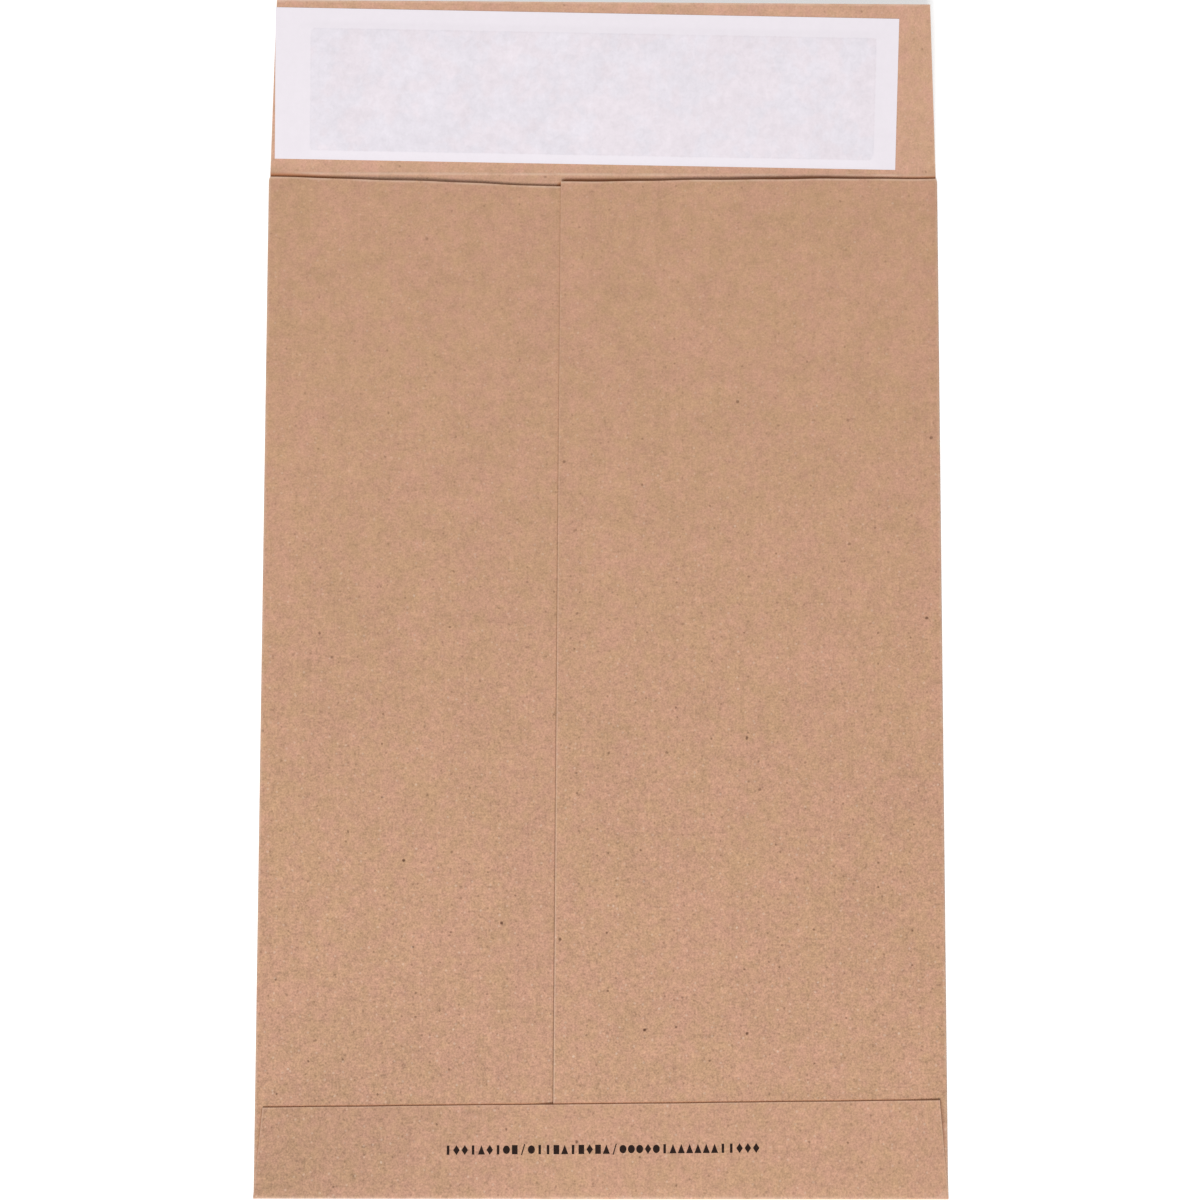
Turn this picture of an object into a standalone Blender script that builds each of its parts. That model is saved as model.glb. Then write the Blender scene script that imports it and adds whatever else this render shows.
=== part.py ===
"""Flat paper mailer, lying on its front panel with the closing flap open.

One sheet of kraft paper is cut, folded and glued into a pouch: front panel, two side folds, a left
and a right back panel that lap at an off-centre seam, a bottom flap folded up over both, and a
closing flap beyond a scored crease, which carries the adhesive strip and its release liner.

The front panel lies on z = 0, +Y points to the closing flap and +Z out of the back panels.
The shapes are worked out with y = 0 at the bottom fold, and an empty there carries them so that the
origin is at the middle of the underside of the whole mailer, flap included.
"""

import bpy
import bmesh
from math import cos, pi, radians, sin

# Paper and glue
PAPER = 0.00022
GLUE_SPACE = 0.00006
GLUE_FILM = 0.00003

# Pouch
BODY_WIDTH = 0.1524
BODY_HEIGHT = 0.2292
SIDE_FOLD_GAP = 0.0003

# Back panels: the right one laps over the left one, and its cut edge slants a little
SEAM_BOTTOM_X = -0.0108
SEAM_TOP_X = -0.0098
SEAM_LAP = 0.0195
LAP_MARGIN = 0.004
STEP_CLEARANCE = 0.0003
PANEL_FOOT = 0.003

# Throat: how far the panels' top edges lie below the crease
LEFT_THROAT_AT_SIDE = 0.0010
LEFT_THROAT_AT_SEAM = 0.0030
RIGHT_THROAT_AT_SEAM = 0.0020
RIGHT_THROAT_AT_SIDE = 0.0010

# How far the back panels stand off at the mouth of the empty pouch
LEFT_PUFF = 0.0005
RIGHT_PUFF = 0.00045
SEAM_PUFF = 0.00025
PUFF_START = 0.004

# Bottom flap
BOTTOM_FLAP_LEFT = 0.0197
BOTTOM_FLAP_RIGHT = 0.0215
BOTTOM_TAPER_LEFT = 0.0018
BOTTOM_TAPER_RIGHT = 0.0013
CORNER_LIFT_LEFT = 0.0001
CORNER_LIFT_RIGHT = 0.00028
CORNER_REACH = 0.014

# Closing flap
TOP_FLAP_LEFT = 0.0388
TOP_FLAP_RIGHT = 0.0384
TOP_TAPER = 0.0018
FLAP_RISE = radians(8.3)
CREASE_WIDTH = 0.0009
CREASE_BEAD = 0.00008

# Adhesive strip and release liner, placed on the closing flap from the middle of its crease
STRIP_SEAT = 0.00002
ADHESIVE_SIZE = (0.1286, 0.0275, 0.00008)
ADHESIVE_CENTRE = (-0.0024, 0.0180)
LINER_SIZE = (0.1415, 0.0339, 0.00007)
LINER_CENTRE = (-0.00387, 0.0192)
STRIP_TURN = radians(-0.82)

# Glue lines
SEAM_GLUE_WIDTH = 0.011
SEAM_GLUE_EDGE = 0.004
SEAM_GLUE_FOOT = 0.008
SEAM_GLUE_HEAD = 0.012
FLAP_GLUE_EDGE = 0.003

# Fineness of the folded mesh
HUMP_COLUMNS = 12
FOLD_STEPS = 10
BODY_ROWS = 20
FLAP_ROWS = 4

# Derived values of the folded section
MID = PAPER / 2
SIDE_RADIUS = (SIDE_FOLD_GAP + PAPER) / 2
FRONT_HALF = BODY_WIDTH / 2 - SIDE_RADIUS - MID
FOLD_TOP = MID + 2 * SIDE_RADIUS
LAP_RISE = PAPER + GLUE_SPACE
SEAM_FIRST_X = min(SEAM_BOTTOM_X, SEAM_TOP_X)
SEAM_LAST_X = max(SEAM_BOTTOM_X, SEAM_TOP_X)
HIDDEN_EDGE_X = SEAM_LAST_X + SEAM_LAP
LAP_START = SEAM_FIRST_X - LAP_MARGIN
LAP_END = HIDDEN_EDGE_X + LAP_MARGIN
STEP_END = SEAM_FIRST_X - STEP_CLEARANCE
PUFF_FROM = max(BOTTOM_FLAP_LEFT, BOTTOM_FLAP_RIGHT) + PUFF_START
THROAT_MAX = max(LEFT_THROAT_AT_SIDE, LEFT_THROAT_AT_SEAM, RIGHT_THROAT_AT_SEAM, RIGHT_THROAT_AT_SIDE)
LAST_FULL_ROW = BODY_HEIGHT - THROAT_MAX - PANEL_FOOT / 2
OPEN_LENGTH = BODY_HEIGHT + max(TOP_FLAP_LEFT, TOP_FLAP_RIGHT) * cos(FLAP_RISE) + MID * sin(FLAP_RISE)


def spread(start, end, count):
    """Evenly spaced values from start to end, both included."""
    return [start + (end - start) * i / count for i in range(count + 1)]


def clamp(value):
    return max(0.0, min(1.0, value))


def smooth(value):
    """Ease from 0 to 1 with a level start and end."""
    s = clamp(value)
    return s * s * (3 - 2 * s)


def mix(a, b, share):
    return a + (b - a) * share


def across(x):
    """Place across the pouch, from 0 at its left side to 1 at its right side."""
    return (x + BODY_WIDTH / 2) / BODY_WIDTH


def seam_x(y):
    """Cut edge of the right back panel at the height y."""
    return mix(SEAM_BOTTOM_X, SEAM_TOP_X, y / BODY_HEIGHT)


def opening(y):
    """How much of the mouth's puff is left at the height y."""
    return smooth((y - PUFF_FROM) / (BODY_HEIGHT - PUFF_FROM))


def hump(share, height):
    """Height over a side fold: level at the fold, highest midway, at SEAM_PUFF from the lap on."""
    s = clamp(share)
    return SEAM_PUFF * smooth(s) + height * sin(pi * s) ** 2


def left_panel_z(x, y):
    """Middle surface of the left back panel."""
    return FOLD_TOP + opening(y) * hump((x + FRONT_HALF) / (LAP_START + FRONT_HALF), LEFT_PUFF)


def right_panel_z(x, y):
    """Middle surface of the right back panel, which comes down from the lap to its side fold."""
    share = clamp((FRONT_HALF - x) / (FRONT_HALF - LAP_END))
    return FOLD_TOP + LAP_RISE * share + opening(y) * hump(share, RIGHT_PUFF)


def bottom_flap_height(x):
    return mix(BOTTOM_FLAP_LEFT, BOTTOM_FLAP_RIGHT, across(x))


def corner_lift(x, y):
    """How far the bottom flap springs off the back panels near its free corners."""
    from_side = clamp(1 - (FLAP_HALF - abs(x)) / CORNER_REACH)
    from_edge = clamp(1 - (bottom_flap_height(x) - y) / CORNER_REACH)
    return (CORNER_LIFT_LEFT if x < 0 else CORNER_LIFT_RIGHT) * (from_side * from_edge) ** 2


def under_flap_z(x, y):
    """Middle surface that the bottom flap is glued to; it slopes up to the seam's step."""
    if x < STEP_END:
        step = clamp((x - LAP_START) / (STEP_END - LAP_START))
        return left_panel_z(x, y) + LAP_RISE * step
    return right_panel_z(x, y)


def bottom_flap_z(x, y):
    """Middle surface of the bottom flap."""
    return under_flap_z(x, y) + LAP_RISE + corner_lift(x, y)


def throat_y(side, x):
    """Cut top edge of a back panel."""
    if side < 0:
        share = (x + FRONT_HALF) / (SEAM_TOP_X + FRONT_HALF)
        below = mix(LEFT_THROAT_AT_SIDE, LEFT_THROAT_AT_SEAM, clamp(share))
    else:
        share = (x - SEAM_TOP_X) / (FRONT_HALF - SEAM_TOP_X)
        below = mix(RIGHT_THROAT_AT_SEAM, RIGHT_THROAT_AT_SIDE, clamp(share))
    return BODY_HEIGHT - below


def tapered(x, inset):
    """Move the outer columns of a flap inwards, the rest staying in line with the pouch."""
    start = FRONT_COLUMNS[-2] if x > 0 else FRONT_COLUMNS[1]
    edge = FLAP_HALF if x > 0 else -FLAP_HALF
    share = (x - start) / (edge - start)
    if share <= 0:
        return x
    return x - share * inset if x > 0 else x + share * inset


# The columns of the blank, from the hidden edge of the left panel round to the seam edge of the right
FRONT_COLUMNS = (
    spread(-FRONT_HALF, LAP_START, HUMP_COLUMNS)
    + [STEP_END]
    + spread(LAP_END, FRONT_HALF, HUMP_COLUMNS)
)
FOLD_ANGLES = spread(0.0, pi, FOLD_STEPS)
FLAP_HALF = FRONT_HALF + SIDE_RADIUS * sin(FOLD_ANGLES[1])


def blank_columns():
    left_panel = [("left_panel", x) for x in [HIDDEN_EDGE_X] + FRONT_COLUMNS[HUMP_COLUMNS:0:-1]]
    left_fold = [("left_fold", angle) for angle in FOLD_ANGLES[:0:-1]]
    front = [("front", x) for x in FRONT_COLUMNS]
    right_fold = [("right_fold", angle) for angle in FOLD_ANGLES[1:]]
    right_panel = [("right_panel", x) for x in FRONT_COLUMNS[-2:HUMP_COLUMNS + 1:-1]]
    return left_panel + left_fold + front + right_fold + right_panel + [("seam_edge", 0.0)]


def blank_rows():
    bottom_flap = [("bottom_flap", share) for share in spread(1.0, 0.0, FLAP_ROWS)[:-1]]
    bottom_fold = [("bottom_fold", angle) for angle in reversed(FOLD_ANGLES)]
    body = [("body", y) for y in spread(PANEL_FOOT, LAST_FULL_ROW, BODY_ROWS)]
    crease = [("throat", 0.0), ("crease", -CREASE_WIDTH / 2), ("crease", 0.0), ("crease", CREASE_WIDTH / 2)]
    top_flap = [("top_flap", share) for share in spread(0.0, 1.0, FLAP_ROWS)[1:]]
    return bottom_flap + bottom_fold + body + crease + top_flap


def section_point(column, y):
    """Point of the pouch's cross-section at the height y, or at the throat where y is None."""
    zone, value = column
    side = -1 if zone.startswith("left") else 1
    if zone == "front":
        left = throat_y(-1, -FRONT_HALF)
        right = throat_y(1, FRONT_HALF)
        return value, mix(left, right, across(value)) if y is None else y, MID
    if zone.endswith("fold"):
        height = throat_y(side, side * FRONT_HALF) if y is None else y
        reach = FRONT_HALF + SIDE_RADIUS * sin(value)
        return side * reach, height, MID + SIDE_RADIUS * (1 - cos(value))
    x = value
    if zone == "seam_edge":
        x = seam_x(BODY_HEIGHT if y is None else y)
    height = throat_y(side, x) if y is None else y
    return x, height, left_panel_z(x, height) if side < 0 else right_panel_z(x, height)


def flap_point(x, distance):
    """Point of the closing flap's middle surface, at a distance from its crease."""
    return x, BODY_HEIGHT + distance * cos(FLAP_RISE), MID + distance * sin(FLAP_RISE)


def folded(column, row):
    """Where a point of the flat blank lies once the sheet is folded."""
    zone, value = row
    if zone == "body":
        return section_point(column, value)
    if zone == "throat":
        return section_point(column, None)
    x = column[1]
    if column[0] != "front":
        x = -FLAP_HALF if column[0] == "left_fold" else FLAP_HALF
    if zone == "crease":
        if value < 0:
            return x, BODY_HEIGHT + value, MID
        bead = CREASE_BEAD if value == 0 else 0.0
        x, y, z = flap_point(x, value)
        return x, y, z + bead
    if zone == "top_flap":
        length = mix(TOP_FLAP_LEFT, TOP_FLAP_RIGHT, across(x))
        return flap_point(tapered(x, TOP_TAPER * value), mix(CREASE_WIDTH / 2, length, value))
    radius = (bottom_flap_z(x, 0.0) - MID) / 2
    if zone == "bottom_fold":
        return x, radius + MID - radius * sin(value), MID + radius * (1 - cos(value))
    y = mix(radius + MID, bottom_flap_height(x), value)
    inset = BOTTOM_TAPER_LEFT if x < 0 else BOTTOM_TAPER_RIGHT
    return tapered(x, inset * value), y, bottom_flap_z(x, y)


def place_grid(name, columns, rows, place, keep=None):
    """Mesh object from a grid whose points place() moves, without the cells that keep() refuses."""
    bm = bmesh.new()
    across_cells = len(columns) - 1
    up_cells = len(rows) - 1
    bmesh.ops.create_grid(bm, x_segments=across_cells, y_segments=up_cells, size=0.5)
    cell = {vert: (round((vert.co.x + 0.5) * across_cells), round((vert.co.y + 0.5) * up_cells))
            for vert in bm.verts}
    if keep:
        waste = [face for face in bm.faces if not keep([cell[vert] for vert in face.verts])]
        bmesh.ops.delete(bm, geom=waste, context='FACES')
    for vert in bm.verts:
        i, j = cell[vert]
        vert.co = place(columns[i], rows[j])
    mesh = bpy.data.meshes.new(name)
    bm.to_mesh(mesh)
    bm.free()
    mesh.shade_smooth()
    return bpy.data.objects.new(name, mesh)


def thicken(obj, thickness):
    """Give an open surface its thickness, half to each side."""
    solidify = obj.modifiers.new("Thickness", 'SOLIDIFY')
    solidify.thickness = thickness
    solidify.offset = 0.0
    solidify.use_even_offset = True
    solidify.use_quality_normals = True


def add_piece(collection, obj, parent, material):
    obj.parent = parent
    obj.data.materials.append(material)
    collection.objects.link(obj)


def make_material(name, colour, roughness):
    material = bpy.data.materials.new(name)
    material.use_nodes = True
    shader = material.node_tree.nodes["Principled BSDF"]
    shader.inputs["Base Color"].default_value = (*colour, 1.0)
    shader.inputs["Roughness"].default_value = roughness
    shader.inputs["Metallic"].default_value = 0.0
    return material


def build_sheet(collection, parent):
    columns = blank_columns()
    rows = blank_rows()
    zones = [column[0] for column in columns]
    first_front = zones.index("front")
    last_front = len(zones) - 1 - zones[::-1].index("front")
    row_zones = [row[0] for row in rows]
    foot_row = row_zones.index("body")
    throat_row = row_zones.index("throat")

    def keep(corners):
        in_front = all(first_front - 1 <= i <= last_front + 1 for i, j in corners)
        in_body = all(foot_row <= j <= throat_row for i, j in corners)
        return in_front or in_body

    sheet = place_grid("mailer_sheet", columns, rows, folded, keep)
    thicken(sheet, PAPER)
    add_piece(collection, sheet, parent, make_material("kraft_paper", (0.565, 0.328, 0.216), 0.85))


def build_seam_glue(collection, parent, material):
    """Glue film in the lap, between the left panel and the right one over it."""
    first = SEAM_LAST_X + SEAM_GLUE_EDGE
    last = min(first + SEAM_GLUE_WIDTH, HIDDEN_EDGE_X - LAP_MARGIN)
    foot = PANEL_FOOT + SEAM_GLUE_FOOT
    head = BODY_HEIGHT - THROAT_MAX - SEAM_GLUE_HEAD
    body = spread(PANEL_FOOT, LAST_FULL_ROW, BODY_ROWS)
    rows = [foot] + [y for y in body if foot < y < head] + [head]

    def place(x, y):
        return x, y, left_panel_z(x, y) + MID + GLUE_SPACE / 2

    glue = place_grid("seam_glue", [first, last], rows, place)
    thicken(glue, GLUE_FILM)
    add_piece(collection, glue, parent, material)


def build_bottom_flap_glue(collection, parent, material):
    """Glue film under the bottom flap, over both back panels."""
    half = FRONT_HALF - max(BOTTOM_TAPER_LEFT, BOTTOM_TAPER_RIGHT) - FLAP_GLUE_EDGE
    columns = [-half] + [x for x in FRONT_COLUMNS if -half < x < half] + [half]

    def place(x, share):
        y = mix(PANEL_FOOT + FLAP_GLUE_EDGE / 2, bottom_flap_height(x) - FLAP_GLUE_EDGE, share)
        return x, y, under_flap_z(x, y) + MID + GLUE_SPACE / 2

    glue = place_grid("bottom_flap_glue", columns, [0.0, 1.0], place)
    thicken(glue, GLUE_FILM)
    add_piece(collection, glue, parent, material)


def build_strip(collection, parent, material, name, size, centre, lift):
    """Flat rectangular strip on the closing flap."""
    bm = bmesh.new()
    bmesh.ops.create_cube(bm, size=1.0)
    bmesh.ops.scale(bm, vec=size, verts=bm.verts)
    mesh = bpy.data.meshes.new(name)
    bm.to_mesh(mesh)
    bm.free()
    strip = bpy.data.objects.new(name, mesh)
    strip.location = (centre[0], centre[1], lift + size[2] / 2)
    strip.rotation_euler = (0.0, 0.0, STRIP_TURN)
    add_piece(collection, strip, parent, material)


def build_flap_strips(collection, parent):
    flap_plane = bpy.data.objects.new("flap_plane", None)
    flap_plane.location = (0.0, BODY_HEIGHT, MID)
    flap_plane.rotation_euler = (FLAP_RISE, 0.0, 0.0)
    flap_plane.parent = parent
    collection.objects.link(flap_plane)
    adhesive_lift = MID + STRIP_SEAT
    liner_lift = adhesive_lift + ADHESIVE_SIZE[2] + STRIP_SEAT
    adhesive = make_material("adhesive", (0.78, 0.70, 0.60), 0.3)
    build_strip(collection, flap_plane, adhesive, "adhesive_strip", ADHESIVE_SIZE, ADHESIVE_CENTRE,
                adhesive_lift)
    coated = make_material("coated_liner", (0.87, 0.82, 0.86), 0.45)
    build_strip(collection, flap_plane, coated, "release_liner", LINER_SIZE, LINER_CENTRE, liner_lift)


def main():
    for obj in list(bpy.data.objects):
        bpy.data.objects.remove(obj, do_unlink=True)
    collection = bpy.data.collections.new("flat_mailer")
    bpy.context.scene.collection.children.link(collection)
    bottom_fold = bpy.data.objects.new("bottom_fold_middle", None)
    bottom_fold.location = (0.0, -OPEN_LENGTH / 2, 0.0)
    collection.objects.link(bottom_fold)
    build_sheet(collection, bottom_fold)
    build_seam_glue(collection, bottom_fold, make_material("seam_glue", (0.62, 0.55, 0.42), 0.4))
    build_bottom_flap_glue(collection, bottom_fold, make_material("flap_glue", (0.62, 0.55, 0.42), 0.4))
    build_flap_strips(collection, bottom_fold)


main()
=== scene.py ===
import bpy
import numpy as np
from math import cos, pi, radians, sin
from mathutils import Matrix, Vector


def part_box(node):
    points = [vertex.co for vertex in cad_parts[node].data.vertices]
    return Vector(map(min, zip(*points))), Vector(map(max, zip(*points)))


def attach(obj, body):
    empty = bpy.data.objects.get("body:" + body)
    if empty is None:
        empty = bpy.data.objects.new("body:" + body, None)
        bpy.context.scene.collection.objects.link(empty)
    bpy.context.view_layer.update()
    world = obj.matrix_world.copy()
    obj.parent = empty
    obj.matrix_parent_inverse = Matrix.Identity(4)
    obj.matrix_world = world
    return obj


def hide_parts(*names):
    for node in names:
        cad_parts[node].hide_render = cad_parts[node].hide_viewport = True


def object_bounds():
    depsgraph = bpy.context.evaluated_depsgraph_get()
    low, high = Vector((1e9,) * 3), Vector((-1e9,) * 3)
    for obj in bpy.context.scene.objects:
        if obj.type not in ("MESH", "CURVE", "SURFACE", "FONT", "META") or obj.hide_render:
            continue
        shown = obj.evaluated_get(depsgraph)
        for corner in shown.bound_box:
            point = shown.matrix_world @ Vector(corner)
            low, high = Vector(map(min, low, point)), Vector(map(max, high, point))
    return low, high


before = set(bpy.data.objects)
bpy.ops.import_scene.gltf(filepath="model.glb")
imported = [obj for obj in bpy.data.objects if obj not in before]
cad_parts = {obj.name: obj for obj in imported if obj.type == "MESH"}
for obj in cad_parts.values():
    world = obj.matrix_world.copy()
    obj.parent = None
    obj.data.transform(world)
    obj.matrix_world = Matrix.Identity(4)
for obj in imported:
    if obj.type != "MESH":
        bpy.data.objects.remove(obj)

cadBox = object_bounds()
mm = 0.001

# The folded sheet, in millimetres. Pairs are left and right, or at the side and at the seam
sheet = {
    "paper": 0.22,
    "sideGap": 0.30,           # inner opening of a side fold
    "glueSpace": 0.06,         # between two papers that are glued
    "topRise": 8.3,            # degrees that the closing flap springs up
    "topFlap": (38.8, 38.4),
    "topTaper": 1.8,
    "creaseWidth": 0.9,
    "creaseBead": 0.08,
    "seam": (-10.65, -9.65),   # the cut edge's x at the bottom and at the top
    "lap": 19.5,
    "lapMargin": 4.0,
    "stepClearance": 0.3,
    "panelFoot": 1.2,
    "throatLeft": (1.0, 3.15),
    "throatRight": (0.9, 2.1),
    "cornerDrop": 0.8,         # the cut dips over the side folds
    "puff": (0.5, 0.45),
    "seamPuff": 0.25,
    "puffStart": 4.0,
    "bottomFlap": (19.7, 21.5),
    "bottomTaper": (1.8, 1.75),
    "cornerLift": (0.10, 0.28),  # the bottom flap's free corners
    "cornerReach": 14.0,
    "mouthShade": 0.6,         # how much narrower the mouth's painted shade is where it gapes least
    "mouthFade": (-72.0, 26.0),  # where it starts to narrow over the left panel, and over what length
    "mouthPeriod": 45.0,       # from one wide place to the next over the right panel
    "wave": 0.05,              # slow unevenness of the back panels
    "edgeWander": 0.05,        # how far a cut edge strays
    "spacing": 2.2,            # size of the mesh's faces
    "foldSteps": 10,
}

# The strips on the closing flap, measured from the middle of its crease
strips = {
    "turn": -0.82,
    "adhesive": (128.6, 27.5),
    "adhesiveAt": (-2.4, 18.0),
    "liner": (141.5, 33.9),
    "linerAt": (-3.87, 19.2),
    "linerPaper": 0.07,
    "marginLift": 0.03,
    "adhesiveLift": 0.125,
    "linerWave": 0.02,
    "drape": 1.2,              # over what length the liner rises to the adhesive
}

# The printed row on the bottom flap: plain shapes, no lettering
printRow = {
    "span": (-33.6, 34.0),
    "low": 9.8,
    "height": 2.15,
    "turn": 0.5,
    "marks": 38,
    "groups": (9, 20),         # a slanted bar stands after these marks
    "film": 0.012,
    "seed": 7,
}

camera = {
    "lens": 60.0,
    "sensor": 36.0,
    "place": (-2.93, 97.5, 447.84),  # from the middle of the bottom fold
    "tilt": (4.378, -0.316, 0.124),
}

low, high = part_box("mailer_sheet")
halfWidth = (high.x - low.x) / 2 / mm
foldY = low.y / mm
thick = sheet["paper"]
mid = thick / 2
sideRadius = (sheet["sideGap"] + thick) / 2
frontHalf = halfWidth - sideRadius - mid
flapHalf = frontHalf + sideRadius * sin(pi / sheet["foldSteps"])
foldTop = mid + 2 * sideRadius
lapRise = thick + sheet["glueSpace"]
lapStart = min(sheet["seam"]) - sheet["lapMargin"]
stepEnd = min(sheet["seam"]) - sheet["stepClearance"]
hiddenEdge = max(sheet["seam"]) + sheet["lap"]
lapEnd = hiddenEdge + sheet["lapMargin"]
rise = radians(sheet["topRise"])
farOff = 50.0
# the crease's height on the sheet, from the box's length less what the open flap reaches
creaseY = (high.y - low.y) / mm - max(sheet["topFlap"]) * cos(rise) - mid * sin(rise)
puffFrom = max(sheet["bottomFlap"]) + sheet["puffStart"]


def mix(a, b, share):
    return a + (b - a) * share


def smooth(value):
    # eases from 0 to 1, level at both ends: 3 s squared less 2 s cubed
    s = np.clip(value, 0.0, 1.0)
    return s * s * (3 - 2 * s)


def across(x):
    # 0 at the left side of the pouch, 1 at its right side
    return (x + halfWidth) / (2 * halfWidth)


def hump(share, height):
    # over a side fold: level at the fold, highest midway, at the seam's puff from the lap on
    s = np.clip(share, 0.0, 1.0)
    return sheet["seamPuff"] * smooth(s) + height * np.sin(pi * s) ** 2


def opening(y):
    return smooth((y - puffFrom) / (creaseY - puffFrom))


def waveAt(x, y, seed):
    # a few slow sine waves that cross each other
    a = np.sin(x / 9.1 + y / 17.0 + seed) + np.sin(x / 14.3 - y / 11.7 + 2.1 * seed)
    b = np.sin(y / 23.0 + x / 31.0 + 0.7 * seed) + 0.6 * np.sin(x / 6.3 + y / 7.9 + 1.3 * seed)
    return (a + b) / 3.6


def calm(x, y):
    # 1 where a back panel lies free, 0 at the folds, in the lap and under the bottom flap
    left = smooth((x + frontHalf) / 14) * smooth((lapStart - x) / 10)
    right = smooth((frontHalf - x) / 14) * smooth((x - lapEnd) / 10)
    return np.where(x < 0, left, right) * smooth((y - puffFrom) / 20)


def leftPanelZ(x, y):
    puff = hump((x + frontHalf) / (lapStart + frontHalf), sheet["puff"][0])
    return foldTop + opening(y) * puff + sheet["wave"] * calm(x, y) * (1 + waveAt(x, y, 1.0))


def rightPanelZ(x, y):
    share = np.clip((frontHalf - x) / (frontHalf - lapEnd), 0.0, 1.0)
    puff = opening(y) * hump(share, sheet["puff"][1])
    return foldTop + lapRise * share + puff + sheet["wave"] * calm(x, y) * (1 + waveAt(x, y, 4.0))


def bottomFlapHeight(x):
    return mix(*sheet["bottomFlap"], across(x))


def bottomFlapZ(x, y):
    # over the back panels, stepping up over the seam; its free corners lift a little
    step = np.clip((x - lapStart) / (stepEnd - lapStart), 0.0, 1.0)
    under = np.where(x < stepEnd, foldTop + lapRise * step, rightPanelZ(np.maximum(x, stepEnd), 0.0))
    side = np.where(x < 0, sheet["cornerLift"][0], sheet["cornerLift"][1])
    nearSide = np.clip(1 - (flapHalf - np.abs(x)) / sheet["cornerReach"], 0.0, 1.0)
    nearTop = np.clip(1 - (bottomFlapHeight(x) - y) / sheet["cornerReach"], 0.0, 1.0)
    return under + lapRise + side * (nearSide * nearTop) ** 2


def throatY(side, x):
    # the cut top edges of the back panels, straight but for a slight wander
    atSide, atSeam = sheet["throatLeft"] if side < 0 else sheet["throatRight"]
    share = np.clip((frontHalf - np.abs(x)) / (frontHalf - abs(sheet["seam"][1])), 0.0, 1.0)
    if side > 0:
        share = np.clip((frontHalf - x) / (frontHalf - sheet["seam"][1]), 0.0, 1.0)
    wander = sheet["edgeWander"] * (np.sin(x / 5.3 + side) + 0.7 * np.sin(x / 2.3 + 2 * side))
    return creaseY - mix(atSide, atSeam, share) - wander


def tapered(x, share, insetLeft, insetRight):
    # moves the outer part of a flap inwards, in proportion to how far from its fold it is
    start = frontHalf * 0.9
    far = np.clip((np.abs(x) - start) / (flapHalf - start), 0.0, 1.0)
    return x - np.sign(x) * far * share * np.where(x < 0, insetLeft, insetRight)


def lay(count, start, end):
    return np.linspace(start, end, count + 1)


def steps(length):
    return max(2, int(round(abs(length) / sheet["spacing"])))


def blankColumns():
    # across the flat blank: kind of zone and place in it, from the left panel's hidden edge
    angles = lay(sheet["foldSteps"], 0.0, pi)
    humpLeft = lay(steps(frontHalf + lapStart), -frontHalf, lapStart)
    humpRight = lay(steps(frontHalf - lapEnd), lapEnd, frontHalf)
    middle = lay(steps(lapEnd - stepEnd), stepEnd, lapEnd)
    step = lay(4, lapStart, stepEnd)[1:-1]
    front = np.concatenate([humpLeft, step, middle[:-1], humpRight])
    inLap = lay(steps(hiddenEdge - lapStart), hiddenEdge, lapStart)
    parts = [
        ("leftPanel", np.concatenate([inLap[:-1], humpLeft[:0:-1]])),
        ("leftFold", angles[:0:-1]),
        ("front", front),
        ("rightFold", angles[1:]),
        ("rightPanel", humpRight[-2::-1]),
        ("rightLap", lay(steps(lapEnd - sheet["seam"][1]), 0.0, 1.0)[1:]),
    ]
    kinds = np.concatenate([np.full(len(values), kind) for kind, values in parts])
    return kinds, np.concatenate([values for kind, values in parts])


def blankRows():
    # up the flat blank, from the bottom flap's cut edge to the closing flap's
    halfCrease = sheet["creaseWidth"] / 2
    parts = [
        ("bottomFlap", lay(steps(20), 1.0, 0.0)[:-1]),
        ("bottomFold", lay(sheet["foldSteps"], pi, 0.0)),
        ("body", lay(steps(creaseY), 0.0, 1.0)),
        ("crease", np.array([-1.0, -0.5, -0.2, 0.0, 0.2, 0.5, 1.0]) * halfCrease),
        ("topFlap", lay(steps(38), 0.0, 1.0)[1:]),
    ]
    kinds = np.concatenate([np.full(len(values), kind) for kind, values in parts])
    return kinds, np.concatenate([values for kind, values in parts])


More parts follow.
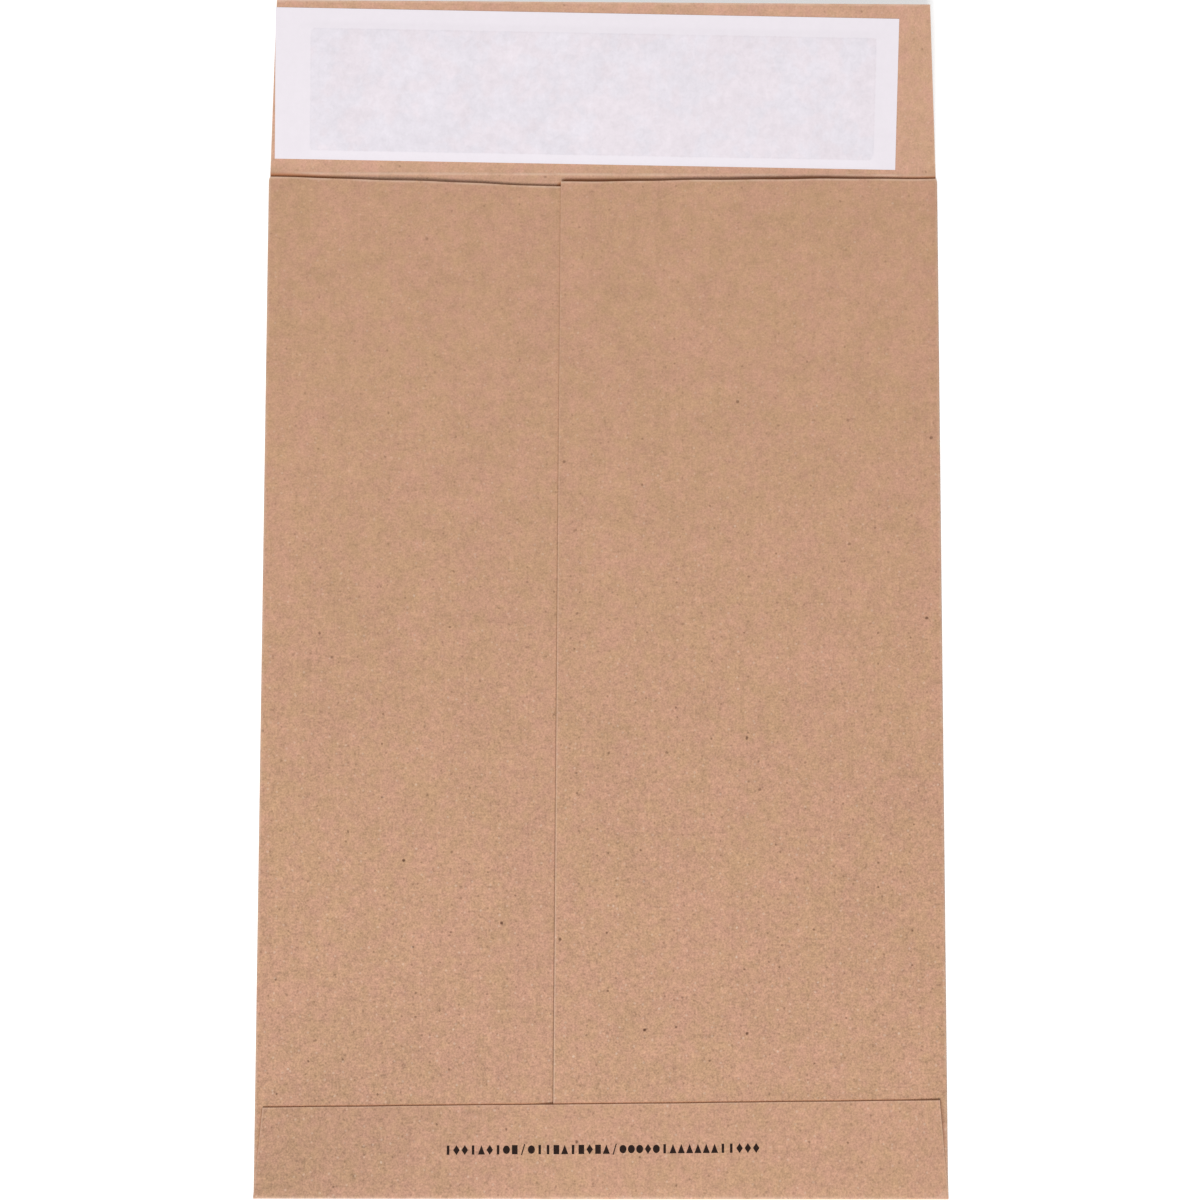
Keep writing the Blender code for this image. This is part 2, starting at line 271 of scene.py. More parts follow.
def foldedSheet():
    # every point of the blank where it lies once the sheet is folded, and its place on the blank
    columnKind, columnValue = blankColumns()
    rowKind, rowValue = blankRows()
    ck, rk = np.meshgrid(columnKind, rowKind)
    c, r = np.meshgrid(columnValue, rowValue)
    side = np.where(np.char.startswith(ck, "left"), -1.0, 1.0)
    inFold = (ck == "leftFold") | (ck == "rightFold")
    inPanel = (ck == "leftPanel") | (ck == "rightPanel")
    inLap = ck == "rightLap"

    # the pouch's cross-section, at a share of the height between the panels' foot and the throat
    foldTurn = np.where(inFold, c, 0.0)
    x = np.where(inFold, side * (frontHalf + sideRadius * np.sin(foldTurn)), c)
    x = np.where(inLap, lapEnd, x)
    frontTop = mix(throatY(-1, -frontHalf), throatY(1, frontHalf), across(x))
    sideTop = np.where(side < 0, throatY(-1, np.minimum(x, stepEnd)), throatY(1, x))
    top = np.where(ck == "front", frontTop, sideTop)
    atFold = np.where(side < 0, throatY(-1, -frontHalf), throatY(1, frontHalf))
    top = np.where(inFold, atFold - sheet["cornerDrop"] * np.sin(foldTurn), top)
    y = mix(sheet["panelFoot"], top, r)
    seamX = mix(*sheet["seam"], y / creaseY)
    x = np.where(inLap, mix(lapEnd, seamX, c), x)
    y = np.where(inLap, mix(sheet["panelFoot"], throatY(1, x), r), y)
    z = np.full(x.shape, mid)
    z = np.where(inFold, mid + sideRadius * (1 - np.cos(foldTurn)), z)
    z = np.where(inPanel & (side < 0), leftPanelZ(x, y), z)
    z = np.where((inPanel & (side > 0)) | inLap, rightPanelZ(x, y), z)

    # the flaps, which keep the front's columns and one more on each side
    fx = np.where(ck == "front", c, side * flapHalf)
    radius = (bottomFlapZ(fx, 0.0) - mid) / 2
    foldUp = rk == "bottomFold"
    angle = np.where(foldUp, r, 0.0)
    # the bottom fold is as wide as the pouch, and the flap narrows from there
    wider = flapHalf - halfWidth
    foldX = tapered(fx, 1.0, wider, wider)
    flapX = tapered(foldX, r, *sheet["bottomTaper"])
    edge = bottomFlapHeight(fx) + sheet["edgeWander"] * 0.6 * np.sin(fx / 3.7) * np.sin(fx / 11.0)
    flapY = mix(radius + mid, edge, r)
    topLength = mix(*sheet["topFlap"], across(fx))
    distance = np.where(rk == "topFlap", mix(sheet["creaseWidth"] / 2, topLength, r), r)
    bead = sheet["creaseBead"] * np.exp(-(distance / (0.3 * sheet["creaseWidth"])) ** 2)
    beyond = np.maximum(distance, 0.0)
    topX = tapered(fx, np.clip(distance / topLength, 0.0, 1.0), sheet["topTaper"], sheet["topTaper"])

    isBody = rk == "body"
    isBottom = rk == "bottomFlap"
    isTop = (rk == "topFlap") | (rk == "crease")
    x = np.where(isBody, x, np.where(isBottom, flapX, np.where(isTop, topX, foldX)))
    y = np.where(isBottom, flapY, y)
    y = np.where(foldUp, radius + mid - radius * np.sin(angle), y)
    y = np.where(isTop, creaseY + np.where(distance > 0, beyond * cos(rise), distance), y)
    z = np.where(isBottom, bottomFlapZ(flapX, flapY), z)
    z = np.where(foldUp, mid + radius * (1 - np.cos(angle)), z)
    z = np.where(isTop, mid + beyond * sin(rise) + bead, z)
    points = np.stack([x, y + foldY, z], axis=-1)

    # the place on the blank: lengths along the middle row and the middle column
    u = lengthAlong(points[len(rowKind) // 2])
    v = lengthAlong(points[:, list(columnKind).index("front") + 3])
    toCrease = v - v[np.flatnonzero(rowKind == "crease")[3]]
    place = np.dstack([*np.meshgrid(u, v), np.repeat(toCrease[:, None], len(u), axis=1)])
    edges = edgeDistances(points, place, ck, rk, columnKind, columnValue, rowKind, rowValue)
    beside = besideOverlaps(points, ck, isBody | (rk == "crease"))

    frontColumns = np.flatnonzero(columnKind == "front")
    bodyRows = np.flatnonzero(rowKind == "body")
    column = np.arange(len(columnKind) - 1)
    row = np.arange(len(rowKind) - 1)
    inFront = (column >= frontColumns[0] - 1) & (column <= frontColumns[-1])
    inBody = (row >= bodyRows[0]) & (row < bodyRows[-1])
    kept = inFront[None, :] | inBody[:, None]
    return points, {"sheetPlace": place, "edgePlace": edges, "besidePlace": beside}, kept


def lengthAlong(line):
    # the distance along a row of points, from its first point to each
    return np.concatenate([[0.0], np.cumsum(np.linalg.norm(np.diff(line, axis=0), axis=-1))])


def edgeDistances(points, place, ck, rk, columnKind, columnValue, rowKind, rowValue):
    # in millimetres along the sheet: to the nearest cut edge but the seam's, to the seam in both
    # back panels, and to the nearest folded edge
    u, v = place[..., 0], place[..., 1]
    lastBody = np.flatnonzero(rowKind == "body")[-1]
    inBody = rk == "body"
    onFlap = ~inBody & (rk != "crease") & (rk != "bottomFold")
    toThroat = np.where(inBody & (ck != "front"), v[lastBody, 0] - v, farOff)
    toSide = np.where(onFlap, flapHalf - np.abs(points[..., 0]), farOff)
    toEnd = np.where(onFlap, np.minimum(v, v[-1, 0] - v), farOff)
    toCut = np.minimum.reduce([toThroat, toSide, toEnd])

    seamX = mix(*sheet["seam"], (points[..., 1] - foldY) / creaseY)
    toSeam = np.where(inBody & np.char.startswith(ck, "left"), seamX - points[..., 0], farOff)
    toSeam = np.where(inBody & (ck == "rightLap"), u[0, -1] - u, toSeam)

    turned = np.abs(columnValue - pi / 2) < 0.2
    leftApex = u[0, (columnKind == "leftFold") & turned].mean()
    rightApex = u[0, (columnKind == "rightFold") & turned].mean()
    bottom = v[(rowKind == "bottomFold") & (np.abs(rowValue - pi / 2) < 0.2), 0].mean()
    toFold = np.minimum.reduce([np.abs(u - leftApex), np.abs(u - rightApex), np.abs(v - bottom)])
    return np.stack([toCut, toSeam, toFold], axis=-1)


def besideOverlaps(points, ck, inPouch):
    # in millimetres, how far a point of the back panels lies beyond the bottom flap's top edge and
    # beyond its slanted side, and how far a point of the front panel lies out of the mouth. These place
    # the painted shadows along the bottom flap and the painted shade in the mouth
    x, y = points[..., 0], points[..., 1] - foldY
    beyondTop = np.where(ck == "front", farOff, y - bottomFlapHeight(x))
    inset = np.where(x < 0, sheet["bottomTaper"][0], sheet["bottomTaper"][1])
    beyondSide = np.abs(x) - halfWidth + inset * y / bottomFlapHeight(x)
    # the mouth gapes most near the left fold, and at the seam and one period beyond it; there the painted
    # shade in the mouth reaches furthest
    atLeft = smooth((x - sheet["mouthFade"][0]) / sheet["mouthFade"][1])
    atRight = 0.3 - 0.3 * np.cos(2 * pi * (x + 1) / sheet["mouthPeriod"])
    outOfMouth = np.where(x < sheet["seam"][1], y - throatY(-1, x) + sheet["mouthShade"] * atLeft,
                          y - throatY(1, x) + sheet["mouthShade"] * atRight)
    outOfMouth = np.where((ck == "front") & inPouch, outOfMouth, farOff)
    return np.stack([beyondTop, beyondSide, outOfMouth], axis=-1)


def gridNormals(points):
    # the cross product of the grid's two directions, at every point
    alongRows = np.gradient(points, axis=1)
    alongColumns = np.gradient(points, axis=0)
    n = np.cross(alongRows, alongColumns)
    return n / np.maximum(np.linalg.norm(n, axis=-1, keepdims=True), 1e-12)


def closedSheet(name, points, kept, thickness, attributes):
    # two skins half the thickness to each side of a grid, joined by a rim round its kept cells.
    # Material 0 is the side that the grid's normal points to, 1 the other side, 2 the cut rim
    rows, columns = points.shape[:2]
    normal = gridNormals(points)
    upper = points + normal * thickness / 2
    lower = points - normal * thickness / 2
    number = np.arange(rows * columns).reshape(rows, columns)
    a, b = number[:-1, :-1], number[:-1, 1:]
    c, d = number[1:, 1:], number[1:, :-1]
    quads = np.stack([a, b, c, d], axis=-1)[kept]
    far = rows * columns
    padded = np.pad(kept, 1)
    rims = []
    for corners, neighbour in (((a, b), padded[:-2, 1:-1]), ((b, c), padded[1:-1, 2:]),
                               ((c, d), padded[2:, 1:-1]), ((d, a), padded[1:-1, :-2])):
        atRim = kept & ~neighbour
        first, second = corners[0][atRim], corners[1][atRim]
        rims.append(np.stack([second, first, first + far, second + far], axis=-1))
    rim = np.concatenate(rims)
    faces = np.concatenate([quads, quads[:, ::-1] + far, rim])
    slots = np.repeat([0, 1, 2], [len(quads), len(quads), len(rim)]).astype(np.int32)
    used, compact = np.unique(faces, return_inverse=True)
    faces = compact.reshape(faces.shape)
    vertices = np.concatenate([upper.reshape(-1, 3), lower.reshape(-1, 3)])[used] * mm
    mesh = bpy.data.meshes.new(name)
    mesh.from_pydata(vertices, [], faces.tolist())
    mesh.polygons.foreach_set("material_index", slots)
    for key, values in attributes.items():
        both = np.concatenate([values.reshape(-1, 3)] * 2)[used]
        layer = mesh.attributes.new(key, "FLOAT_VECTOR", "POINT")
        layer.data.foreach_set("vector", both.ravel())
    mesh.shade_smooth()
    mesh.set_sharp_from_angle(angle=radians(40))
    piece = bpy.data.objects.new(name, mesh)
    bpy.context.scene.collection.objects.link(piece)
    return piece


def makeSheet():
    points, attributes, kept = foldedSheet()
    piece = closedSheet("kraftSheet", points, kept, thick, attributes)
    print("sheet:", len(piece.data.polygons), "faces")
    return piece


def onFlap(x, distance, lift):
    # a point of the closing flap's plane, lifted square to it
    y = creaseY + foldY + distance * cos(rise) - (lift + mid) * sin(rise)
    return np.stack([x, y, mid + distance * sin(rise) + (lift + mid) * cos(rise)], axis=-1)


def makeLiner():
    # a thin rectangle that lies on the flap and rises over the adhesive's edge
    width, height = strips["liner"]
    s, t = np.meshgrid(lay(96, -width / 2, width / 2), lay(40, -height / 2, height / 2))
    turn = radians(strips["turn"])
    x = strips["linerAt"][0] + s * cos(turn) - t * sin(turn)
    d = strips["linerAt"][1] + s * sin(turn) + t * cos(turn)
    ax = s + strips["linerAt"][0] - strips["adhesiveAt"][0]
    ad = t + strips["linerAt"][1] - strips["adhesiveAt"][1]
    toSide = strips["adhesive"][0] / 2 - np.abs(ax)
    toEnd = strips["adhesive"][1] / 2 - np.abs(ad)
    inside = smooth(toSide / strips["drape"] + 1) * smooth(toEnd / strips["drape"] + 1)
    lift = mix(strips["marginLift"], strips["adhesiveLift"], inside) + strips["linerPaper"] / 2
    lift = lift + strips["linerWave"] * (1 + waveAt(s, t * 1.7, 2.0)) * 0.5
    toEdge = np.minimum(toSide, toEnd)
    piece = closedSheet("linerPaper", onFlap(x, d, lift), np.ones((40, 96), bool),
                        strips["linerPaper"], {"stripPlace": np.stack([ax, ad, toEdge], axis=-1)})
    print("liner:", len(piece.data.polygons), "faces")
    return piece


def markOutlines():
    # plain filled shapes, each an outline round (0, 0) of unit height: block, disc, wedge, lozenge, bar
    turn = lay(16, 0.0, 2 * pi)[:-1]
    disc = np.stack([0.36 * np.cos(turn), 0.42 * np.sin(turn)], axis=-1)
    block = np.array([(-0.29, -0.46), (0.29, -0.46), (0.29, 0.46), (-0.29, 0.46)])
    wedge = np.array([(-0.36, -0.46), (0.36, -0.46), (0.0, 0.48)])
    lozenge = np.array([(0.0, -0.5), (0.33, 0.0), (0.0, 0.5), (-0.33, 0.0)])
    bar = np.array([(-0.13, -0.46), (0.13, -0.46), (0.13, 0.46), (-0.13, 0.46)])
    return [block, disc, wedge, lozenge, bar]


def makePrint():
    # marks set side by side along the row, in a seeded order, each a thin prism on the paper
    rng = np.random.default_rng(printRow["seed"])
    outlines = markOutlines()
    slant = np.array([(-0.22, -0.55), (-0.10, -0.55), (0.22, 0.55), (0.10, 0.55)])
    size = printRow["height"]
    vertices, faces = [], []
    for number, x in enumerate(np.linspace(*printRow["span"], printRow["marks"])):
        shape = outlines[rng.integers(len(outlines))]
        if number in printRow["groups"]:
            shape = slant
        px = x + shape[:, 0] * size
        py = printRow["low"] + (0.5 + shape[:, 1]) * size + radians(printRow["turn"]) * x
        pz = bottomFlapZ(px, py) + mid + 0.004
        count, first = len(shape), len(vertices)
        vertices += [(a, b + foldY, c) for a, b, c in zip(px, py, pz)]
        vertices += [(a, b + foldY, c + printRow["film"]) for a, b, c in zip(px, py, pz)]
        ring = first + np.arange(count)
        after = np.roll(ring, -1)
        faces.append((ring + count).tolist())
        faces.append(ring[::-1].tolist())
        faces += np.stack([ring, after, after + count, ring + count], axis=-1).tolist()
    mesh = bpy.data.meshes.new("printedRow")
    mesh.from_pydata(np.array(vertices) * mm, [], faces)
    piece = bpy.data.objects.new("printedRow", mesh)
    bpy.context.scene.collection.objects.link(piece)
    print("print:", len(faces), "faces")
    return piece


class Wire:
    # a socket that takes part in Python sums, each of which adds its Math node
    def __init__(self, finish, socket):
        self.finish = finish
        self.socket = socket

    def maths(self, operation, *values):
        return self.finish.node("ShaderNodeMath", {"operation": operation}, dict(enumerate(values)))

    def __add__(self, other):
        return self.maths("ADD", self, other)

    def __radd__(self, other):
        return self.maths("ADD", other, self)

    def __sub__(self, other):
        return self.maths("SUBTRACT", self, other)

    def __rsub__(self, other):
        return self.maths("SUBTRACT", other, self)

    def __mul__(self, other):
        return self.maths("MULTIPLY", self, other)

    def __rmul__(self, other):
        return self.maths("MULTIPLY", other, self)


class Finish:
    # one material: its Principled shader, and one method that adds any other node
    def __init__(self, name):
        self.material = bpy.data.materials.new(name)
        self.material.use_nodes = True
        self.nodes = self.material.node_tree.nodes
        self.links = self.material.node_tree.links
        self.shader = self.nodes["Principled BSDF"]

    def node(self, kind, settings, inputs, output=0):
        made = self.nodes.new(kind)
        for key, value in settings.items():
            setattr(made, key, value)
        for key, value in inputs.items():
            self.put(made.inputs[key], value)
        return Wire(self, made.outputs[output])

    def put(self, socket, value):
        if isinstance(value, Wire):
            self.links.new(value.socket, socket)
        elif socket.type == "VECTOR":
            socket.default_value = value[:3]
        else:
            socket.default_value = value

    def set(self, **values):
        for key, value in values.items():
            self.put(self.shader.inputs[key.replace("_", " ")], value)

    def attribute(self, name):
        return self.node("ShaderNodeAttribute", {"attribute_name": name}, {}, "Vector")

    def moved(self, vector, offset):
        return self.node("ShaderNodeMapping", {}, {"Vector": vector, "Location": offset})

    def noise(self, vector, size, detail, roughness=0.5, distortion=0.0):
        # size is the width of its features in millimetres
        return self.node("ShaderNodeTexNoise", {"noise_dimensions": "2D"}, {
            "Vector": vector, "Scale": 1 / size, "Detail": detail, "Roughness": roughness,
            "Distortion": distortion})

    def cells(self, vector, size):
        # the distance in millimetres to the nearest point of a jittered grid, and that point's draw
        near = self.node("ShaderNodeTexVoronoi", {"voronoi_dimensions": "2D"},
                         {"Vector": vector, "Scale": 1 / size}, "Distance")
        drawn = Wire(self, near.socket.node.outputs["Color"])
        return near * size, self.part(drawn, "X")

    def magnitude(self, value):
        return self.node("ShaderNodeMath", {"operation": "ABSOLUTE"}, {0: value})

    def between(self, value, low, high):
        # 0 below low, 1 above high, eased in between
        return self.node("ShaderNodeMapRange", {"interpolation_type": "SMOOTHSTEP"},
                         {"Value": value, "From Min": low, "From Max": high})

    def mixed(self, share, first, second):
        return self.node("ShaderNodeMix", {"data_type": "RGBA"}, {0: share, 6: first, 7: second}, 2)

    def scaled(self, colour, factor):
        return self.node("ShaderNodeVectorMath", {"operation": "SCALE"}, {"Vector": colour, "Scale": factor})

    def part(self, vector, axis):
        return self.node("ShaderNodeSeparateXYZ", {}, {"Vector": vector}, axis)

    def bump(self, height, strength, depth):
        return self.node("ShaderNodeBump", {},
                         {"Height": height, "Strength": strength, "Distance": depth * mm})


def tone(red, green, blue):
    # a colour as a screen shows it, 0 to 255, as the shader takes it
    channels = np.array([red, green, blue]) / 255
    linear = np.where(channels <= 0.04045, channels / 12.92, ((channels + 0.055) / 1.055) ** 2.4)
    return (*linear.tolist(), 1.0)


# What the papers look like. Sizes of features are in millimetres
kraft = {
    "rosy": tone(204, 156, 131),
    "sandy": tone(198, 157, 123),
    "insideRosy": tone(211, 163, 141),
    "insideSandy": tone(205, 164, 133),
    "speck": tone(98, 64, 46),
    # pale flecks; the same colour is the painted highlight along cuts, folds, the crease and the seam
    "fleckAndHighlight": tone(232, 204, 182),
    # painted shade: the seam's dark line, the shadows past the bottom flap's top edge and slanted sides, and
    # the mouth
    "shadow": tone(104, 70, 50),
    "flapSideShadow": tone(120, 66, 32),
    "flapTopShadowTint": tone(214, 140, 96),
    "mouth": tone(174, 110, 71),
    "cut": tone(212, 174, 148),
    # each layer's size, how much it changes the tone, and how much it changes the hue
    "layers": ((0.42, 0.82, 0.0), (1.1, 0.38, 0.35), (3.2, 0.17, 0.6), (11.0, 0.09, 0.42),
               (60.0, 0.05, 0.2)),
    # cell size, radius, share of cells, strength, shift
    "specks": ((2.1, 0.34, 0.55, 0.36, 11), (7.5, 0.36, 0.50, 0.65, 53), (21.0, 0.50, 0.60, 0.95, 29)),
    "flecks": ((1.9, 0.34, 0.50, 0.38, 7), (9.0, 0.34, 0.45, 0.60, 83)),
    "dull": (86.0, 0.11),      # the bottom left corner's place across the blank, and how much darker it is
    "roughness": 0.62,
}
liner = {
    "margin": tone(242, 235, 242),
    "overRosy": tone(238, 229, 236),
    "overGrey": tone(236, 230, 238),
    "layers": ((0.5, 0.08, 0.0), (1.5, 0.12, 1.0), (5.0, 0.10, 2.1), (16.0, 0.06, 1.5)),
    "roughness": 0.42,
}


def layered(f, place, layers, grain):
    # sums of noise: for the tone, about 0, for the hue, about 0.5, and the finest layer alone.
    # The grain scales the two finest layers of the tone
    finest = f.noise(place, layers[0][0], 2, 0.55, 0.4) - 0.5
    shade = grain * layers[0][1] * finest
    hue = 0.5
    for number, (size, toneShare, hueShare) in enumerate(layers[1:]):
        noise = f.noise(f.moved(place, (size * 17, size * 5, 0)), size, 1, 0.5, 0.4)
        tint = f.noise(f.moved(place, (size * 31, size * 13, 0)), size * 1.3, 1, 0.5)
        amount = grain * toneShare if number == 0 else toneShare
        shade = shade + amount * (noise - 0.5)
        hue = hue + hueShare * 1.6 * (tint - 0.5)
    return shade, hue, finest


def dotted(f, place, wandering, colour, dots, dotColour, amount):
    # a dot in some cells of a jittered grid, its strength drawn for each cell, its outline uneven
    for size, radius, share, strength, shift in dots:
        spot = f.moved(place, (shift, shift * 1.7, 0))
        near, drawn = f.cells(spot, size)
        disc = 1 - f.between(near + wandering, radius * 0.35, radius)
        mask = disc * f.between(drawn, 1 - share, 1.0) * (amount * strength)
        colour = f.mixed(mask, colour, dotColour)
    return colour


def kraftFinish(name, rosy, sandy, offset, outer):
    # recycled kraft: cloudy tone, matted fibres, dark specks, pale flecks, wear along its folds, and painted
    # highlights and painted shade along its cuts, crease, overlaps and mouth
    f = Finish(name)
    sheetPlace = f.attribute("sheetPlace")
    edgePlace = f.attribute("edgePlace")
    across = f.part(sheetPlace, "X")
    up = f.part(sheetPlace, "Y")
    place = f.moved(sheetPlace, (offset, offset / 3, 0))
    # the grain is coarsest low on the pouch and finest on the closing flap
    grain = 0.5 + 0.54 * (1 - f.between(up, 60, 265)) - 0.09 * (1 - f.between(up, 15, 45))
    shade, hue, finest = layered(f, place, kraft["layers"], grain)
    corner, darker = kraft["dull"]
    dull = (1 - f.between(up, 12, 80)) * (1 - f.between(f.magnitude(across - corner), 8, 75))
    shade = shade - darker * dull
    wandering = (f.noise(place, 0.7, 2) - 0.5) * 0.4
    colour = f.scaled(f.mixed(f.between(hue, 0.0, 1.0), sandy, rosy), 1 + shade)
    colour = dotted(f, place, wandering, colour, kraft["specks"], kraft["speck"], grain)
    colour = dotted(f, place, wandering, colour, kraft["flecks"], kraft["fleckAndHighlight"], grain)

    # the scored crease: a painted highlight, a pale line along its ridge
    ridge = f.magnitude(f.part(sheetPlace, "Z"))
    patchy = f.between(f.noise(place, 6, 3, 0.6), 0.30, 0.60)
    colour = f.mixed((1 - f.between(ridge, 0.10, 0.45)) * (0.14 + 0.24 * patchy), colour, kraft["fleckAndHighlight"])

    # cut edges get a pale line along them, a painted highlight; folded edges are pale, partly rubbed wear
    # and partly a painted reflection
    toCut = f.part(edgePlace, "X")
    toFold = f.part(edgePlace, "Z")
    atThroat = f.between(up, 200, 240)
    cutHighlight = (1 - f.between(toCut, 0.12, 0.36 + 0.3 * atThroat)) * (1 + 1.2 * atThroat)
    colour = f.mixed(cutHighlight * (0.05 + 0.14 * patchy), colour, kraft["fleckAndHighlight"])
    colour = f.mixed((1 - f.between(toFold, 0.2, 1.1)) * (0.08 + 0.26 * patchy), colour, kraft["fleckAndHighlight"])

    beside = f.attribute("besidePlace")
    if outer:
        colour = overlapLines(f, colour, f.part(edgePlace, "Y"), beside, across, up)
    else:
        # painted shade: the front panel is painted a warmer, deeper brown where it goes in under the back
        # panels, in the mouth's shadow
        mouth = 1 - f.between(f.part(beside, "Z"), 0.5, 1.5)
        colour = f.mixed(mouth * 0.95, colour, kraft["mouth"])
    f.set(Specular_IOR_Level=0.2)
    f.set(Base_Color=colour, Roughness=kraft["roughness"], Normal=f.bump(finest, 0.3, 0.04))
    return f.material


def overlapLines(f, colour, toSeam, beside, across, up):
    # at the seam's step: painted shade, a thin dark line, beside a painted highlight on its cut edge, both
    # clearer towards the bottom
    lower = 1 - f.between(up, 30, 290)
    overlapping = f.between(across, 120, 180)
    foot = f.between(toSeam, -0.3, 0.02) * (1 - f.between(toSeam, 0.08, 0.38)) * (1 - overlapping)
    colour = f.mixed(foot * (0.14 + 0.50 * lower), colour, kraft["shadow"])
    edge = (1 - f.between(toSeam, 0.12, 0.42)) * overlapping
    colour = f.mixed(edge * (0.02 + 0.30 * lower), colour, kraft["fleckAndHighlight"])
    # along the bottom flap: a warm tint painted into the shadow line past its top edge, and soft painted
    # shadows past its slanted sides
    beyondTop, beyondSide = f.part(beside, "X"), f.part(beside, "Y")
    pastTop = f.between(beyondTop, -0.3, 0.0) * (1 - f.between(beyondTop, 0.2, 0.5))
    pastTop = pastTop * (1 - f.between(beyondSide, -0.5, 0.0))
    colour = f.mixed(pastTop * 0.45, colour, kraft["flapTopShadowTint"])
    reach = 0.45 + 0.45 * overlapping
    pastSide = 1 - f.between(beyondSide, 0.1, reach)
    upper = f.between(beyondTop, -16, -3) * (1 - f.between(beyondTop, -0.3, 0.3))
    pastSide = f.between(beyondSide, -0.25, 0.02) * pastSide * upper
    return f.mixed(pastSide * 0.42, colour, kraft["flapSideShadow"])


def cutFinish(name):
    # the paper's cut edge: paler, torn fibres
    f = Finish(name)
    place = f.attribute("sheetPlace")
    colour = f.scaled(kraft["cut"], 0.9 + 0.3 * f.noise(place, 0.5, 3, 0.6))
    f.set(Base_Color=colour, Roughness=0.8)
    return f.material


def linerFinish(name):
    # coated white paper; the adhesive under it shows through as a mottled rectangle
    f = Finish(name)
    place = f.attribute("stripPlace")
    inside = f.between(f.part(place, "Z"), -strips["drape"] / 2, strips["drape"] / 2)
    shade, hue, finest = layered(f, place, liner["layers"], 1.0)
    over = f.mixed(f.between(hue, 0.0, 1.0), liner["overGrey"], liner["overRosy"])
    ragged = inside + (f.noise(place, 0.7, 3, 0.7) - 0.5) * 0.5
    edge = f.between(ragged, 0.35, 0.75)
    outline = edge * (1 - f.between(ragged, 0.75, 1.0)) * 0.02
    colour = f.scaled(f.mixed(edge, liner["margin"], over), 1 - outline + shade * (0.25 + 0.75 * edge))
    f.set(Base_Color=colour, Roughness=liner["roughness"], Normal=f.bump(finest * edge, 0.1, 0.03))
    return f.material


def plainFinish(name, colour, roughness, size, amount):
    # a film with a slow unevenness of tone, for the glue and the adhesive
    f = Finish(name)
    place = f.node("ShaderNodeTexCoord", {}, {}, "Object")
    uneven = f.node("ShaderNodeTexNoise", {}, {"Vector": place, "Scale": 1 / (size * mm), "Detail": 3.0})
    f.set(Base_Color=f.scaled(colour, 1 - amount / 2 + amount * uneven), Roughness=roughness)
    return f.material


def inkFinish(name):
    # dark ink that the paper's fibres break up
    f = Finish(name)
    place = f.node("ShaderNodeTexCoord", {}, {}, "Object")
    broken = f.node("ShaderNodeTexNoise", {}, {"Vector": place, "Scale": 1 / (0.35 * mm), "Detail": 3.0})
    colour = f.mixed(f.between(broken, 0.58, 0.78) * 0.4, tone(38, 22, 16), tone(104, 72, 54))
    f.set(Base_Color=colour, Roughness=0.7, Specular_IOR_Level=0.15)
    return f.material


light = {
    "room": 0.38,
    "power": 95.0,
    "width": 1520.0,
    "depth": 1120.0,
    "place": (-600.0, -2260.0, 2500.0),
    "aim": (0.0, 0.0, 0.0),
    "floorGlow": 0.45,
}


def makeFloor():
    # a wide pale floor: white to the camera and in reflections, and it keeps the mailer's shadow
    mesh = bpy.data.meshes.new("floor")
    reach = 1.5
    corners = [(-reach, -reach, 0), (reach, -reach, 0), (reach, reach, 0), (-reach, reach, 0)]
    mesh.from_pydata([(x, y, cadBox[0].z) for x, y, z in corners], [], [(0, 1, 2, 3)])
    floor = bpy.data.objects.new("floor", mesh)
    bpy.context.scene.collection.objects.link(floor)
    f = Finish("floorWhite")
    paths = f.node("ShaderNodeLightPath", {}, {}, "Is Camera Ray")
    glossy = f.node("ShaderNodeLightPath", {}, {}, "Is Glossy Ray")
    through = f.node("ShaderNodeLightPath", {}, {}, "Is Transmission Ray")
    seen = f.node("ShaderNodeMath", {"operation": "MAXIMUM"}, {0: paths, 1: glossy})
    seen = f.node("ShaderNodeMath", {"operation": "MAXIMUM"}, {0: seen, 1: through})
    glow = f.mixed(seen, (0, 0, 0, 1), (1, 1, 1, 1))
    f.set(Base_Color=(0.8, 0.8, 0.8, 1), Roughness=0.9, Emission_Color=glow)
    f.set(Specular_IOR_Level=0.0, Emission_Strength=light["floorGlow"])
    floor.data.materials.append(f.material)


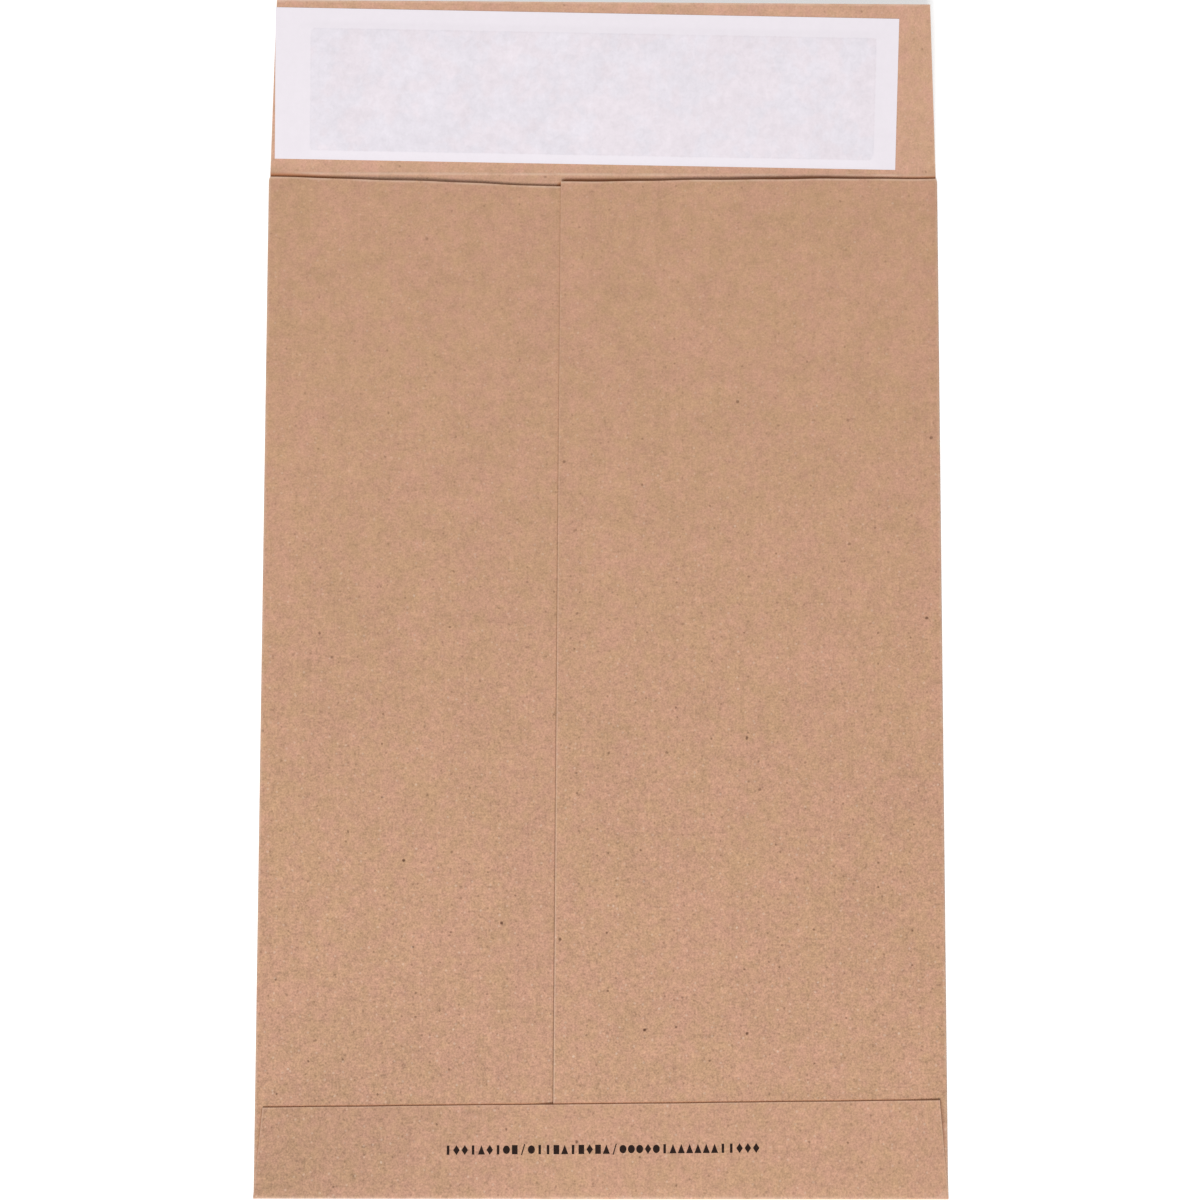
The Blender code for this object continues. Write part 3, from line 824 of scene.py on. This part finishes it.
def makeLight():
    # an even white room, and one soft lamp from below the picture's lower edge
    world = bpy.data.worlds.new("room")
    bpy.context.scene.world = world
    world.use_nodes = True
    nodes, links = world.node_tree.nodes, world.node_tree.links
    back = nodes["Background"]
    back.inputs["Color"].default_value = (1, 1, 1, 1)
    paths = nodes.new("ShaderNodeLightPath")
    strength = nodes.new("ShaderNodeMix")
    strength.inputs[2].default_value = light["room"]
    strength.inputs[3].default_value = 1.0
    links.new(paths.outputs["Is Camera Ray"], strength.inputs[0])
    links.new(strength.outputs[0], back.inputs["Strength"])
    lamp = bpy.data.lights.new("softbox", "AREA")
    lamp.shape = "RECTANGLE"
    lamp.size, lamp.size_y = light["width"] * mm, light["depth"] * mm
    lamp.energy = light["power"]
    lampObject = bpy.data.objects.new("softbox", lamp)
    lampObject.location = Vector(light["place"]) * mm
    aim = Vector(light["aim"]) * mm - lampObject.location
    lampObject.rotation_euler = aim.to_track_quat("-Z", "Y").to_euler()
    bpy.context.scene.collection.objects.link(lampObject)


def makeCamera():
    data = bpy.data.cameras.new("camera")
    data.lens = camera["lens"]
    data.sensor_width = camera["sensor"]
    data.clip_start = 0.01
    holder = bpy.data.objects.new("camera", data)
    x, y, z = camera["place"]
    holder.location = (x * mm, (y + foldY) * mm, z * mm)
    holder.rotation_euler = [radians(angle) for angle in camera["tilt"]]
    bpy.context.scene.collection.objects.link(holder)
    bpy.context.scene.camera = holder


print("making the sheet")
kraftSheet = makeSheet()
outside = kraftFinish("kraftOutside", kraft["rosy"], kraft["sandy"], 0.0, True)
inside = kraftFinish("kraftInside", kraft["insideRosy"], kraft["insideSandy"], 700.0, False)
for material in (inside, outside, cutFinish("kraftCutEdge")):
    kraftSheet.data.materials.append(material)
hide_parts("mailer_sheet")
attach(kraftSheet, "root")

print("making the liner")
linerPaper = makeLiner()
linerFace = linerFinish("linerCoated")
for material in (linerFace, linerFace, plainFinish("linerEdge", tone(222, 216, 220), 0.6, 1.0, 0.1)):
    linerPaper.data.materials.append(material)
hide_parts("release_liner")
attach(linerPaper, "root")

print("making the print")
printedRow = makePrint()
printedRow.data.materials.append(inkFinish("ink"))
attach(printedRow, "root")

print("finishing the glue and the adhesive")
filmFinishes = {
    "seam_glue": plainFinish("seamGlue", tone(206, 192, 160), 0.4, 6.0, 0.2),
    "bottom_flap_glue": plainFinish("flapGlue", tone(206, 192, 160), 0.4, 6.0, 0.2),
    "adhesive_strip": plainFinish("tackyFilm", tone(226, 212, 190), 0.3, 3.0, 0.15),
}
for name, material in filmFinishes.items():
    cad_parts[name].data.materials.clear()
    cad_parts[name].data.materials.append(material)

print("making the floor, light and camera")
makeFloor()
makeLight()
makeCamera()
bpy.context.scene.view_settings.view_transform = "Standard"

bpy.context.view_layer.update()
